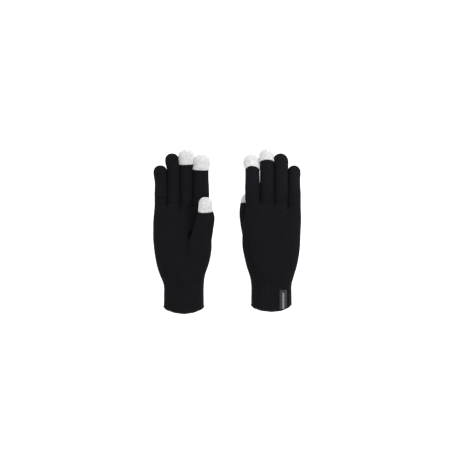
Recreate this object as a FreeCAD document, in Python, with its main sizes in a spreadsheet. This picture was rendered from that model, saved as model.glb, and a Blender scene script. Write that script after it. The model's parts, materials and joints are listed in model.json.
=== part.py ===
# Pair of knitted touchscreen gloves, laid side by side: one palm up, one back up.
# Each glove is drawn in its own frame: X towards the thumb side, Y from the hem to the fingertips,
# Z out of the palm. The back-up glove is the same drawing turned half a turn about Y.
import FreeCAD, Part
import math
import os
import Sketcher
from FreeCAD import Placement, Rotation, Vector

doc = FreeCAD.newDocument("TouchscreenGloves")
sheet = doc.addObject("Spreadsheet::Sheet", "Sizes")

STATIONS = ("wrist", "heel", "palm", "web", "knuckle")
FINGERS = ("index", "middle", "ring", "little")
TOUCH_FINGERS = ("index", "middle")
GLOVES = ("palm_up", "back_up")

# All lengths are in millimetres and all angles in degrees.
COMMON_SIZES = {
    "wall": 1.6,                # fabric thickness
    "clearance": 0.3,           # gap between pieces that move against each other
    "glove_length": 228.8,      # hem to middle fingertip
    "palm_up_centre_x": -60.9,
    "back_up_centre_x": 60.9,
    "back_up_turn_height": 32.4,    # glove-frame height that lies on the floor once turned over
    # Cuff: an elliptical tube ended by a hem that curves like a wide arc.
    "cuff_half_width": 27.7,
    "cuff_half_depth": 15.5,
    "cuff_height": 16.2,
    "cuff_length": 41.0,
    "hem_radius": 58.0,
    "hem_band": 1.8,
    "hem_lip": 0.7,
    "elastic_first": 14.0,
    "elastic_pitch": 6.0,
    "elastic_thickness": 0.7,
    "label_left": -21.1,
    "label_width": 9.5,
    "label_end": 33.2,
    "label_gap": 0.2,           # between the hem band and the label
    "label_thickness": 0.6,
    "stitch_width": 1.6,
    "stitch_height": 0.5,
    # Hand sections from the wrist to the knuckles: place along the hand, centre and half sizes.
    "wrist_along": 41.0, "wrist_side": -0.2, "wrist_half_width": 28.0, "wrist_half_depth": 15.5,
    "heel_along": 66.0, "heel_side": -1.7, "heel_half_width": 35.7, "heel_half_depth": 15.0,
    "palm_along": 92.0, "palm_side": -1.7, "palm_half_width": 40.0, "palm_half_depth": 14.0,
    "web_along": 117.0, "web_side": -2.5, "web_half_width": 40.5, "web_half_depth": 13.5,
    "knuckle_along": 152.0, "knuckle_side": -3.1, "knuckle_half_width": 39.0,
    "knuckle_half_depth": 11.5,
    # Fingers: tube radius, ball radius at the tip, tip length, where the tube starts and ends.
    "index_radius": 10.2, "index_ball": 10.7, "index_cap": 21.4, "index_root": 167.0,
    "index_reach": 222.0,
    "middle_radius": 9.2, "middle_ball": 10.3, "middle_cap": 21.5, "middle_root": 163.0,
    "middle_reach": 228.8,
    "ring_radius": 9.1, "ring_ball": 9.3, "ring_cap": 20.0, "ring_root": 161.0,
    "ring_reach": 223.5,
    "little_radius": 8.4, "little_ball": 8.8, "little_cap": 18.0, "little_root": 158.0,
    "little_reach": 207.4,
    # Thumb: a tapering tube on a round base, ended by its own tip.
    "thumb_base_radius": 14.0, "thumb_radius": 9.7, "thumb_ball": 9.6, "thumb_cap": 22.0,
    "thumb_base_side": 21.5, "thumb_ball_side": 31.0,
}

# How each glove lies: section heights, finger places and bends, thumb heights.
POSE_SIZES = {
    "palm_up": {
        "hem_start": 0.0,
        "wrist_height": 15.9, "heel_height": 14.6, "palm_height": 13.6, "web_height": 13.1,
        "knuckle_height": 11.1, "finger_height": 10.6,
        "index_side": 23.6, "index_splay": 2.0, "index_curl": 7.0, "index_bend": 220.0,
        "middle_side": 3.6, "middle_splay": 0.4, "middle_curl": 6.0, "middle_bend": 220.0,
        "ring_side": -15.2, "ring_splay": -0.8, "ring_curl": 7.0, "ring_bend": 220.0,
        "little_side": -33.0, "little_splay": -1.6, "little_curl": 8.0, "little_bend": 200.0,
        "thumb_base_along": 82.0, "thumb_base_height": 20.5,
        "thumb_ball_along": 152.6, "thumb_ball_height": 40.5,
    },
    "back_up": {
        "hem_start": 2.8,
        "wrist_height": 15.9, "heel_height": 13.4, "palm_height": 8.1, "web_height": 3.4,
        "knuckle_height": -0.9, "finger_height": -0.9,
        "index_side": 26.2, "index_splay": 0.7, "index_curl": 32.0, "index_bend": 40.0,
        "middle_side": 5.8, "middle_splay": 0.2, "middle_curl": 28.0, "middle_bend": 60.0,
        "ring_side": -13.6, "ring_splay": -0.4, "ring_curl": 29.0, "ring_bend": 60.0,
        "little_side": -32.0, "little_splay": -0.3, "little_curl": 36.0, "little_bend": 44.0,
        "thumb_base_along": 85.0, "thumb_base_height": 16.9,
        "thumb_ball_along": 158.4, "thumb_ball_height": 22.5,
    },
}

STUB_START = 149.0      # the finger starts grow out of the hand from here
LABEL_TACKS = {"palm_up": (9.4, 32.2), "back_up": (11.4, 32.2)}     # places of the bar tacks
ELASTIC_ROWS = 4
TALL = 80.0             # reaches past a glove in every direction


def fill_sheet():
    """Write every driving dimension into the sheet, one alias per row."""
    sizes = dict(COMMON_SIZES)
    for glove, pose in POSE_SIZES.items():
        for name, value in pose.items():
            sizes[glove + "_" + name] = value
    for row, (name, value) in enumerate(sizes.items(), start=1):
        sheet.set("A%d" % row, name.replace("_", " "))
        sheet.set("B%d" % row, str(value))
        sheet.setAlias("B%d" % row, name)
    doc.recompute()


def size(name):
    return float(sheet.get(name))


def origin_plane(body, role):
    return [item for item in body.Origin.OriginFeatures if item.Role == role][0]


def new_sketch(body, name, role):
    sketch = body.newObject("Sketcher::SketchObject", name)
    sketch.AttachmentSupport = [(origin_plane(body, role), "")]
    sketch.MapMode = "FlatFace"
    return sketch


def dimension(sketch, name, formula, *constraint):
    """Add a named dimension that follows the sheet."""
    number = sketch.addConstraint(Sketcher.Constraint(*constraint))
    sketch.renameConstraint(number, name)
    sketch.setExpression("Constraints." + name, formula)


# ---- Part primitives in the glove frame -------------------------------------------------------

def named(kind, name):
    item = doc.addObject(kind, name)
    item.Label = name
    return item


def cut(name, base, tool):
    item = named("Part::Cut", name)
    item.Base = base
    item.Tool = tool
    return item


def common(name, base, tool):
    item = named("Part::Common", name)
    item.Base = base
    item.Tool = tool
    return item


def fuse(name, shapes):
    item = named("Part::MultiFuse", name)
    item.Shapes = shapes
    return item


def box(name, low, high):
    item = named("Part::Box", name)
    item.Length, item.Width, item.Height = (high[i] - low[i] for i in range(3))
    item.Placement = Placement(Vector(*low), Rotation())
    return item


def ellipse_section(name, place, half_width, half_depth):
    """An upright ellipse across the hand."""
    item = named("Part::Ellipse", name)
    item.setExpression("MajorRadius", half_width)
    item.setExpression("MinorRadius", half_depth)
    item.Placement = Placement(Vector(*place), Rotation(Vector(1, 0, 0), 90))
    return item


def along_cylinder(name, radius, place, length):
    """A cylinder that runs along the hand."""
    item = named("Part::Cylinder", name)
    item.setExpression("Radius", radius)
    item.Height = length
    item.Placement = Placement(Vector(*place), Rotation(Vector(1, 0, 0), -90))
    return item


def hand_envelope(name, glove, grow, top_cut):
    """The hand's form, made larger by grow (smaller when it is negative)."""
    sections = []
    for station in STATIONS:
        along = size(station + "_along")
        if station == "knuckle":
            along -= top_cut
        place = (size(station + "_side"), along, size("%s_%s_height" % (glove, station)))
        grown = "Sizes.%s_half_%%s + (%s)" % (station, grow)
        section = ellipse_section("%s_%s" % (name, station), place, grown % "width",
                                  grown % "depth")
        sections.append(section)
    loft = named("Part::Loft", name)
    loft.Sections = sections
    loft.Solid = True
    return loft


# ---- Cuff pieces --------------------------------------------------------------------------------

def cuff_tube(name, inner, outer):
    """An elliptical tube between two offsets from the cuff's outer face."""
    solids = []
    for side, offset in (("outside", outer), ("inside", inner)):
        start = (0, -size("hem_band"), size("cuff_height"))
        section = ellipse_section("%s_%s_section" % (name, side), start,
                                  "Sizes.cuff_half_width + (%s)" % offset,
                                  "Sizes.cuff_half_depth + (%s)" % offset)
        solid = named("Part::Extrusion", "%s_%s" % (name, side))
        solid.Base = section
        solid.DirMode = "Custom"
        solid.Dir = Vector(0, 1, 0)
        solid.setExpression("LengthFwd", "Sizes.cuff_length + Sizes.hem_band")
        solid.Solid = True
        solids.append(solid)
    return cut(name, *solids)


def hem_disc(glove, name, inset):
    """An upright cylinder whose rim is the curved hem."""
    item = named("Part::Cylinder", name)
    item.setExpression("Radius", "Sizes.hem_radius - (%s)" % inset)
    item.Height = TALL
    centre = Vector(0, size(glove + "_hem_start") + size("hem_radius"), -TALL / 4)
    item.Placement = Placement(centre, Rotation())
    return item


def rib_cuff(glove, prefix):
    tube = cuff_tube(prefix + "cuff_wall", "-Sizes.wall", "0")
    return common(prefix + "rib_cuff", tube, hem_disc(glove, prefix + "cuff_disc", "Sizes.hem_band"))


def hem_edge(glove, prefix):
    tube = cuff_tube(prefix + "hem_wall", "-Sizes.wall - Sizes.hem_lip", "Sizes.hem_lip")
    outside = hem_disc(glove, prefix + "hem_outside", "0")
    inside = hem_disc(glove, prefix + "hem_inside", "Sizes.hem_band")
    return common(prefix + "hem_edge", tube, cut(prefix + "hem_rim", outside, inside))


def wrist_elastic(glove, prefix):
    """Elastic threads laid round the inside of the cuff."""
    tube = cuff_tube(prefix + "elastic_wall", "-Sizes.wall - Sizes.elastic_thickness", "-Sizes.wall")
    rows = []
    for row in range(ELASTIC_ROWS):
        start = size("elastic_first") + row * size("elastic_pitch")
        low = (-TALL, start, -TALL)
        high = (TALL, start + size("elastic_thickness"), TALL)
        rows.append(box("%selastic_row_%d" % (prefix, row + 1), low, high))
    return common(prefix + "wrist_elastic", tube, fuse(prefix + "elastic_rows", rows))


def woven_label(glove, prefix):
    """A label that lies on the back of the cuff, its lower end along the hem."""
    tube = cuff_tube(prefix + "label_wall", "0", "Sizes.label_thickness")
    low = (size("label_left"), 0, -TALL)
    high = (low[0] + size("label_width"), size("label_end"), size("cuff_height"))
    outline = common(prefix + "label_outline", box(prefix + "label_block", low, high),
                     hem_disc(glove, prefix + "label_disc", "Sizes.hem_band + Sizes.label_gap"))
    return common(prefix + "woven_label", tube, outline)


def label_stitches(glove, prefix):
    """Bar tacks that hold the label at both ends."""
    tube = cuff_tube(prefix + "stitch_wall", "Sizes.label_thickness",
                     "Sizes.label_thickness + Sizes.stitch_height")
    tacks = []
    for end in LABEL_TACKS[glove]:
        start = end - size("stitch_width") / 2
        low = (size("label_left") + 0.6, start, -TALL)
        high = (low[0] + size("label_width") - 1.2, start + size("stitch_width"),
                size("cuff_height"))
        tacks.append(box("%stack_%d" % (prefix, len(tacks) + 1), low, high))
    return common(prefix + "label_stitches", tube, fuse(prefix + "tacks", tacks))


# ---- Fingers ------------------------------------------------------------------------------------

def finger_path(glove, finger):
    """Bend radius, curl angle and straight run of a finger, with formulas for the last one."""
    curl = "(Sizes.%s_%s_curl * 1 deg)" % (glove, finger)
    bend = "Sizes.%s_%s_bend" % (glove, finger)
    span = ("(Sizes.{0}_reach - Sizes.{0}_ball - (Sizes.{0}_cap - Sizes.{0}_ball) * cos({1})"
            " - Sizes.{0}_root)").format(finger, curl)
    return bend, curl, "(%s - %s * sin(%s)) / cos(%s)" % (span, bend, curl, curl)


def finger_end(glove, finger):
    """Where the straight run of a finger ends: along, height and slope in the finger frame."""
    curl = math.radians(size("%s_%s_curl" % (glove, finger)))
    bend = size("%s_%s_bend" % (glove, finger))
    ball = size(finger + "_ball")
    span = size(finger + "_reach") - ball - (size(finger + "_cap") - ball) * math.cos(curl)
    span -= size(finger + "_root")
    run = (span - bend * math.sin(curl)) / math.cos(curl)
    return span, bend * (1 - math.cos(curl)) + run * math.sin(curl), curl, run


def finger_tube(glove, finger, name):
    """A fabric tube swept along an arc and a straight run."""
    body = named("PartDesign::Body", name)
    along, height, curl, run = finger_end(glove, finger)
    bend, curl_formula, run_formula = finger_path(glove, finger)
    bend_radius = size("%s_%s_bend" % (glove, finger))
    path = new_sketch(body, name + "_path", "YZ_Plane")
    start_angle = -math.pi / 2
    circle = Part.Circle(Vector(0, bend_radius, 0), Vector(0, 0, 1), bend_radius)
    path.addGeometry(Part.ArcOfCircle(circle, start_angle, start_angle + curl))
    knee = Vector(bend_radius * math.sin(curl), bend_radius * (1 - math.cos(curl)), 0)
    path.addGeometry(Part.LineSegment(knee, Vector(along, height, 0)))
    path.addConstraint(Sketcher.Constraint("Coincident", 0, 1, -1, 1))
    path.addConstraint(Sketcher.Constraint("PointOnObject", 0, 3, -2))
    path.addConstraint(Sketcher.Constraint("Tangent", 0, 2, 1, 1))
    dimension(path, "bend", bend, "Radius", 0, bend_radius)
    dimension(path, "curl", curl_formula, "Angle", 1, curl)
    dimension(path, "run", run_formula, "Distance", 1, run)
    ring = new_sketch(body, name + "_ring", "XZ_Plane")
    radius = size(finger + "_radius")
    for number, (part, value, formula) in enumerate((
            ("outer", radius, "Sizes.%s_radius" % finger),
            ("bore", radius - size("wall"), "Sizes.%s_radius - Sizes.wall" % finger))):
        ring.addGeometry(Part.Circle(Vector(0, 0, 0), Vector(0, 0, 1), value))
        ring.addConstraint(Sketcher.Constraint("Coincident", number, 3, -1, 1))
        dimension(ring, part, formula, "Radius", number, value)
    pipe = body.newObject("PartDesign::AdditivePipe", name + "_pipe")
    pipe.Profile = ring
    pipe.Spine = (path, [])
    body.Tip = pipe
    return body


def hollow_tip(name, digit):
    """A closed round tip: a slightly flaring sleeve on a half ball."""
    body = named("PartDesign::Body", name)
    seam, ball, reach = (size("%s_%s" % (digit, part)) for part in ("radius", "ball", "cap"))
    wall = size("wall")
    sketch = new_sketch(body, name + "_profile", "XY_Plane")
    middle = Vector(0, reach - ball, 0)
    outer = Part.Circle(middle, Vector(0, 0, 1), ball)
    inner = Part.Circle(middle, Vector(0, 0, 1), ball - wall)
    geometry = (
        Part.LineSegment(Vector(seam, 0, 0), Vector(ball, reach - ball, 0)),
        Part.ArcOfCircle(outer, 0, math.pi / 2),
        Part.LineSegment(Vector(0, reach, 0), Vector(0, reach - wall, 0)),
        Part.ArcOfCircle(inner, 0, math.pi / 2),
        Part.LineSegment(Vector(ball - wall, reach - ball, 0), Vector(seam - wall, 0, 0)),
        Part.LineSegment(Vector(seam - wall, 0, 0), Vector(seam, 0, 0)),
    )
    for item in geometry:
        sketch.addGeometry(item)
    joins = ((0, 2, 1, 1), (1, 2, 2, 1), (2, 2, 3, 2), (3, 1, 4, 1), (4, 2, 5, 1), (5, 2, 0, 1),
             (1, 3, 3, 3))
    for join in joins:
        sketch.addConstraint(Sketcher.Constraint("Coincident", *join))
    for point in ((1, 3), (1, 2), (3, 2)):
        sketch.addConstraint(Sketcher.Constraint("PointOnObject", *point, -2))
    for point in ((5, 1), (5, 2)):
        sketch.addConstraint(Sketcher.Constraint("PointOnObject", *point, -1))
    for number in (1, 3):
        sketch.addConstraint(Sketcher.Constraint("Horizontal", number, 1, number, 3))
    dimension(sketch, "seam", "Sizes.%s_radius" % digit, "DistanceX", -1, 1, 5, 2, seam)
    dimension(sketch, "opening", "Sizes.%s_radius - Sizes.wall" % digit,
              "DistanceX", -1, 1, 5, 1, seam - wall)
    dimension(sketch, "ball", "Sizes.%s_ball" % digit, "Radius", 1, ball)
    dimension(sketch, "hollow", "Sizes.%s_ball - Sizes.wall" % digit, "Radius", 3, ball - wall)
    dimension(sketch, "reach", "Sizes.%s_cap" % digit, "DistanceY", -1, 1, 1, 2, reach)
    turn = body.newObject("PartDesign::Revolution", name + "_turn")
    turn.Profile = sketch
    turn.ReferenceAxis = (sketch, ["V_Axis"])
    turn.Angle = 360
    body.Tip = turn
    return body


def finger_root_placement(glove, finger):
    place = Vector(size("%s_%s_side" % (glove, finger)), size(finger + "_root"),
                   size(glove + "_finger_height"))
    splay = Rotation(Vector(0, 0, 1), -size("%s_%s_splay" % (glove, finger)))
    return Placement(place, splay)


def make_finger(glove, finger, prefix):
    """The tube and its tip: grafted on when it conducts, knitted in one when it does not."""
    root = finger_root_placement(glove, finger)
    along, height, curl, run = finger_end(glove, finger)
    tip_placement = Placement(Vector(0, along, height), Rotation(Vector(1, 0, 0), math.degrees(curl)))
    if finger in TOUCH_FINGERS:
        tube = finger_tube(glove, finger, "%s%s_finger" % (prefix, finger))
        tip = hollow_tip("%s%s_touch_tip" % (prefix, finger), finger)
        tip.Placement = root.multiply(tip_placement)
        tube.Placement = root
        return [tube, tip]
    tube = finger_tube(glove, finger, "%s%s_sleeve" % (prefix, finger))
    tip = hollow_tip("%s%s_round_end" % (prefix, finger), finger)
    tip.Placement = tip_placement
    whole = fuse("%s%s_finger" % (prefix, finger), [tube, tip])
    whole.Placement = root
    return [whole]


# ---- Thumb --------------------------------------------------------------------------------------

def thumb_axis(glove):
    """Placement at the thumb's base whose Y runs to the tip, and the length up to the seam."""
    base, ball = (Vector(size("thumb_%s_side" % end), size("%s_thumb_%s_along" % (glove, end)),
                         size("%s_thumb_%s_height" % (glove, end))) for end in ("base", "ball"))
    line = ball - base
    length = line.Length - (size("thumb_cap") - size("thumb_ball"))
    squares = ["(Sizes.thumb_ball_side - Sizes.thumb_base_side)^2"]
    squares += ["(Sizes.{0}_thumb_ball_{1} - Sizes.{0}_thumb_base_{1})^2".format(glove, way)
                for way in ("along", "height")]
    formula = "sqrt(%s) - Sizes.thumb_cap + Sizes.thumb_ball" % " + ".join(squares)
    return Placement(base, Rotation(Vector(0, 1, 0), line)), (length, formula)


def thumb_form(name, placement, length, inset):
    """A round base and a cone, hollow when inset is None, or only the space inside it."""
    body = named("PartDesign::Body", name)
    length, length_formula = length
    wall = size("wall")
    base_radius, end_radius = size("thumb_base_radius"), size("thumb_radius")
    sketch = new_sketch(body, name + "_profile", "XY_Plane")
    centre, normal = Vector(0, 0, 0), Vector(0, 0, 1)

    def quarter(radius):
        return Part.ArcOfCircle(Part.Circle(centre, normal, radius), -math.pi / 2, 0)

    base_in, end_in = base_radius - wall, end_radius - wall
    if inset:
        geometry = (
            quarter(base_in),
            Part.LineSegment(Vector(base_in, 0, 0), Vector(end_in, length, 0)),
            Part.LineSegment(Vector(end_in, length, 0), Vector(0, length, 0)),
            Part.LineSegment(Vector(0, length, 0), Vector(0, -base_in, 0)),
        )
        joins = ((0, 2, 1, 1), (1, 2, 2, 1), (2, 2, 3, 1), (3, 2, 0, 1), (0, 3, -1, 1))
    else:
        geometry = (
            quarter(base_radius),
            Part.LineSegment(Vector(base_radius, 0, 0), Vector(end_radius, length, 0)),
            Part.LineSegment(Vector(end_radius, length, 0), Vector(end_in, length, 0)),
            Part.LineSegment(Vector(end_in, length, 0), Vector(base_in, 0, 0)),
            quarter(base_in),
            Part.LineSegment(Vector(0, -base_in, 0), Vector(0, -base_radius, 0)),
        )
        joins = ((0, 2, 1, 1), (1, 2, 2, 1), (2, 2, 3, 1), (3, 2, 4, 2), (4, 1, 5, 1),
                 (5, 2, 0, 1), (0, 3, -1, 1), (4, 3, -1, 1))
    for item in geometry:
        sketch.addGeometry(item)
    for join in joins:
        sketch.addConstraint(Sketcher.Constraint("Coincident", *join))
    end_line = 2
    sketch.addConstraint(Sketcher.Constraint("Horizontal", end_line))
    sketch.addConstraint(Sketcher.Constraint("PointOnObject", 0, 1, -2))
    sketch.addConstraint(Sketcher.Constraint("PointOnObject", 0, 2, -1))
    dimension(sketch, "length", length_formula, "DistanceY", -1, 1, 1, 2, length)
    if inset:
        sketch.addConstraint(Sketcher.Constraint("PointOnObject", 2, 2, -2))
        dimension(sketch, "base", "Sizes.thumb_base_radius - Sizes.wall", "Radius", 0, base_in)
        dimension(sketch, "end", "Sizes.thumb_radius - Sizes.wall",
                  "DistanceX", -1, 1, 1, 2, end_in)
    else:
        sketch.addConstraint(Sketcher.Constraint("PointOnObject", 4, 1, -2))
        sketch.addConstraint(Sketcher.Constraint("PointOnObject", 4, 2, -1))
        dimension(sketch, "base", "Sizes.thumb_base_radius", "Radius", 0, base_radius)
        dimension(sketch, "hollow", "Sizes.thumb_base_radius - Sizes.wall", "Radius", 4, base_in)
        dimension(sketch, "end", "Sizes.thumb_radius", "DistanceX", -1, 1, 1, 2, end_radius)
        dimension(sketch, "opening", "Sizes.thumb_radius - Sizes.wall",
                  "DistanceX", -1, 1, 2, 2, end_in)
    turn = body.newObject("PartDesign::Revolution", name + "_turn")
    turn.Profile = sketch
    turn.ReferenceAxis = (sketch, ["V_Axis"])
    turn.Angle = 360
    body.Tip = turn
    body.Placement = placement
    return body


def make_thumb(glove, prefix):
    """The thumb tube, opened where it meets the hand, and its conducting tip."""
    placement, length = thumb_axis(glove)
    tube = thumb_form(prefix + "thumb_tube", placement, length, inset=False)
    room = hand_envelope(prefix + "thumb_room", glove, "Sizes.clearance", 0)
    thumb = cut(prefix + "thumb", tube, room)
    tip = hollow_tip(prefix + "thumb_touch_tip", "thumb")
    tip.Placement = placement.multiply(Placement(Vector(0, length[0], 0), Rotation()))
    return [thumb, tip]


# ---- Hand ---------------------------------------------------------------------------------------

def hand_shell(glove, prefix):
    """The hand with the starts of the fingers, hollow, with a hole for the thumb."""
    solid = [hand_envelope(prefix + "hand_outside", glove, "0", 0)]
    hollow = [hand_envelope(prefix + "hand_inside", glove, "-Sizes.wall", size("wall"))]
    for finger in FINGERS:
        side = size("%s_%s_side" % (glove, finger))
        start = (side, STUB_START, size(glove + "_finger_height"))
        end = size(finger + "_root") - 2 * size("clearance")
        solid.append(along_cylinder("%s%s_start" % (prefix, finger), "Sizes.%s_radius" % finger,
                                    start, end - STUB_START))
        hollow.append(along_cylinder("%s%s_bore" % (prefix, finger),
                                     "Sizes.%s_radius - Sizes.wall" % finger, start, TALL))
    placement, length = thumb_axis(glove)
    hollow.append(thumb_form(prefix + "thumb_bore", placement, length, inset=True))
    if glove == "palm_up":
        hollow.append(box(prefix + "rest_cut", (-TALL, 0, -TALL), (TALL, 2 * TALL, 0)))
    return cut(prefix + "hand_shell", fuse(prefix + "hand_solid", solid),
               fuse(prefix + "hand_hollow", hollow))


def glove_placement(glove):
    middle = -size("glove_length") / 2
    if glove == "palm_up":
        return Placement(Vector(size("palm_up_centre_x"), middle, 0), Rotation())
    place = Vector(size("back_up_centre_x"), middle, size("back_up_turn_height"))
    return Placement(place, Rotation(Vector(0, 1, 0), 180))


def make_glove(glove):
    prefix = glove + "_"
    pieces = [hand_shell(glove, prefix)]
    pieces += [make(glove, prefix) for make in (rib_cuff, hem_edge, wrist_elastic, woven_label,
                                                label_stitches)]
    for finger in FINGERS:
        pieces += make_finger(glove, finger, prefix)
    pieces += make_thumb(glove, prefix)
    placement = glove_placement(glove)
    for piece in pieces:
        piece.Placement = placement.multiply(piece.Placement)
    return pieces


fill_sheet()
nodes = []
for glove_name in GLOVES:
    nodes += make_glove(glove_name)
doc.recompute()

for item in doc.Objects:
    if "Invalid" in item.State or "Error" in item.State:
        raise RuntimeError("%s is %s" % (item.Label, item.State))
os.makedirs("parts", exist_ok=True)
for node in nodes:
    if node.Shape.isNull() or not node.Shape.isValid() or not node.Shape.Solids:
        raise RuntimeError("%s has no valid solid" % node.Label)
for node in nodes:
    node.Shape.exportStep("parts/%s.step" % node.Label)
    print("%-28s %d solid  %9.1f mm3" % (node.Label, len(node.Shape.Solids), node.Shape.Volume))
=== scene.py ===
"""Looks of a pair of knitted touchscreen gloves, one palm up and one back up.

Every glove is knitted in its own frame in millimetres: side points to the thumb, along runs from the
hem to the fingertips and out leaves the palm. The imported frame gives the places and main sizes.
"""
import json
import math

import bpy
import numpy as np
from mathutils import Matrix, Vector


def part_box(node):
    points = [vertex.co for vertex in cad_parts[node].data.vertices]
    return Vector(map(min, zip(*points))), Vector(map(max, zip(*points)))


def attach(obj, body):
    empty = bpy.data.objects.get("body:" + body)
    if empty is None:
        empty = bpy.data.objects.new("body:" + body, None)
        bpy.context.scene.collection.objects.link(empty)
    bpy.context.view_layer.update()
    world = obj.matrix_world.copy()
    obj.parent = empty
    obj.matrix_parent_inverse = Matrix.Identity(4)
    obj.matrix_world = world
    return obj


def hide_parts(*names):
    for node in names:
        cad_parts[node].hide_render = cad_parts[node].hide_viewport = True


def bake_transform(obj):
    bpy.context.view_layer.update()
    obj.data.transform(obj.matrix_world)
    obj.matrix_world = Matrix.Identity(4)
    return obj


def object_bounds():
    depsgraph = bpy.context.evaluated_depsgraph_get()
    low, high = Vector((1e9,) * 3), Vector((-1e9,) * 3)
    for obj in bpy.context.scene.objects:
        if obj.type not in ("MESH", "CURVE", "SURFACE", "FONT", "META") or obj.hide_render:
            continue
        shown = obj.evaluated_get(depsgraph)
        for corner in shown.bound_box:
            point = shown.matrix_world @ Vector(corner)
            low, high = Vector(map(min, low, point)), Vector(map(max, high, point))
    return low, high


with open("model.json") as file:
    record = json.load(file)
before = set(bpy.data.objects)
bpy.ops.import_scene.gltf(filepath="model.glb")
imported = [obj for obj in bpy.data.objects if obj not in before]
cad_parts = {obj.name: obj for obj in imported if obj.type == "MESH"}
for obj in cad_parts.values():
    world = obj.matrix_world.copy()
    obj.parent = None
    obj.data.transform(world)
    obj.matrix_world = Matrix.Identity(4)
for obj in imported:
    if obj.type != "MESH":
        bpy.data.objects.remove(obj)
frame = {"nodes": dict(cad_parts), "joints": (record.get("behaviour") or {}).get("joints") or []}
cad_low, cad_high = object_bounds()

MM = 0.001
FINGERS = ("index", "middle", "ring", "little")
TOUCH_FINGERS = ("index", "middle")
COLUMNS_PER_WALE = 4
FABRIC = 1.3                # wall of the knitted tubes
COURSE = 1.45               # height of one row of stitches
ROW = 1.1                   # spacing of mesh rows on the plain knit
WALE_RELIEF = 0.10
RIB_RELIEF = 0.62
RIB_WALES = 3               # two wales stand out and one lies back
UNEVENNESS = 0.3

# Fingers as they lie: side place at the root and at the tip, half width of the tube and of the tip.
FINGER_SHAPES = {
    "palm_up": {"index": (23.4, 25.1, 11.3, 12.0), "middle": (3.25, 3.6, 9.4, 11.2),
                "ring": (-14.7, -16.6, 9.3, 9.6), "little": (-32.2, -32.9, 8.7, 9.6)},
    "back_up": {"index": (25.9, 27.4, 9.9, 11.2), "middle": (5.3, 6.2, 10.05, 10.2),
                "ring": (-14.1, -13.8, 9.8, 10.9), "little": (-32.0, -32.5, 8.8, 9.2)},
}

# Where each touch cap's seam crosses the side that faces up, along the glove.
CAP_SEAMS = {
    "palm_up": {"index": 199.5, "middle": 207.2, "thumb": 140.4},
    "back_up": {"index": 205.9, "middle": 215.3, "thumb": 154.6},
}

# Wales on the palm side of each finger, at the hand's two edges and between two fingers.
FRONT_WALES = {"index": 10, "middle": 10, "ring": 10, "little": 8}
EDGE_WALES = 7
CROTCH_WALES = 4

# The outline: places along a glove, each glove's middle and half width there, and the half depth.
ALONG = (0, 8, 24, 41, 54, 66, 79, 92, 104, 117, 130, 146, 160)
MIDDLE = {
    "palm_up": (0, 0, 0, -0.2, -1.9, -1.9, -1.5, -1.5, -2.0, -2.4, -3.0, -3.1, -3.1),
    "back_up": (-0.8, -0.8, -0.8, -0.8, -1.4, -1.1, -0.7, -0.3, -0.4, -1.2, -2.4, -3.0, -3.1),
}
HALF_WIDTH = {
    "palm_up": (28.4, 27.8, 27.4, 27.9, 31.7, 35.8, 38.8, 40.5, 41.0, 40.6, 39.8, 38.5, 37.5),
    "back_up": (28.4, 28.0, 27.7, 28.0, 31.4, 35.0, 38.0, 40.0, 40.5, 40.4, 39.7, 38.4, 37.4),
}
HALF_DEPTH = (15.6, 15.3, 15.1, 15.3, 15.3, 15.0, 14.6, 14.0, 13.8, 13.3, 12.4, 11.0, 10.0)
SECTION_POWER = 2.25        # the section's roundness: 2 is an ellipse, and more is squarer
WRIST = 41.0                # the ribbed cuff ends here
KNUCKLE = 150.0             # the finger boundaries are set by the section here
CORNER = 0.87               # where the flat of the hand turns into its edge, as part of the half width
OUTER_CORNER = 0.77         # the same on the two outer fingers
HEIGHT_ALONG = (WRIST, 66, 92, 117, 146)
SLAB = 4.0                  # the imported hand's height is read over a slice this thick, each way

BLEND_BEFORE = 5.0          # a finger's level rows begin at least this far, and 1 more, before its hinge
BLEND_AFTER = 8.0
ROOT_FADE = 12.0            # the hand's last rows move with the finger over this length
HEM_ARC = 58.0              # radius of the cuff's end
HEM_CORNER = 1.6            # the cuff's corners are drawn in by this much, from HEM_TURN outwards
HEM_TURN = (23.0, 28.0)
HEM_BAND = 2.0
HEM_RISE = 0.9
HEM_RADIUS = 1.05
HEM_RELIEF = 0.3
HEM_WAVE = 0.35
HEM_ROWS, HEM_WRAPS = 1104, 120     # mesh rings round the hem, and turns of its thread
FLOOR_GAP = 0.15
ELASTIC_PLACES = (14, 20, 26, 32)
ELASTIC_RADIUS = 0.4
LABEL_LEFT, LABEL_WIDTH = -21.1, 9.5
LABEL_THICK = 0.5
LABEL_DROP = 0.35
TACK_RADIUS = 0.2
TACK_SWINGS = 27            # zigzags of one bar tack
TACK_REACH = 0.55
TACK_INSET = 0.7            # from the label's long edges
TACK_PLACE = 1.0            # from its ends

# Touch caps are knitted in finer mesh, with every loop standing out.
CAP_COLUMNS = 8
CAP_OVERLAP = 1.5           # the tube runs on under its cap
CAP_ROW = 0.24
CAP_RELIEF = 0.34
CAP_PROUD = 0.25
CAP_LIP = 0.5               # how far the cap's first rows are drawn in at its seam
CAP_LIP_END = (0.3, 1.4)
LEG_SLANT = 1.5             # rows that a leg of a loop climbs over one wale

# Light blocks woven down the label, by share of its width and by place along the glove.
LABEL_MARK_AT = 0.474
LABEL_MARK_HALF = 0.13
LABEL_MARK_PITCH = 2.3
LABEL_MARK_FILL = 0.72
LABEL_MARK_MIDDLE = 17.0
LABEL_MARK_REACH = 12.0

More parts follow.
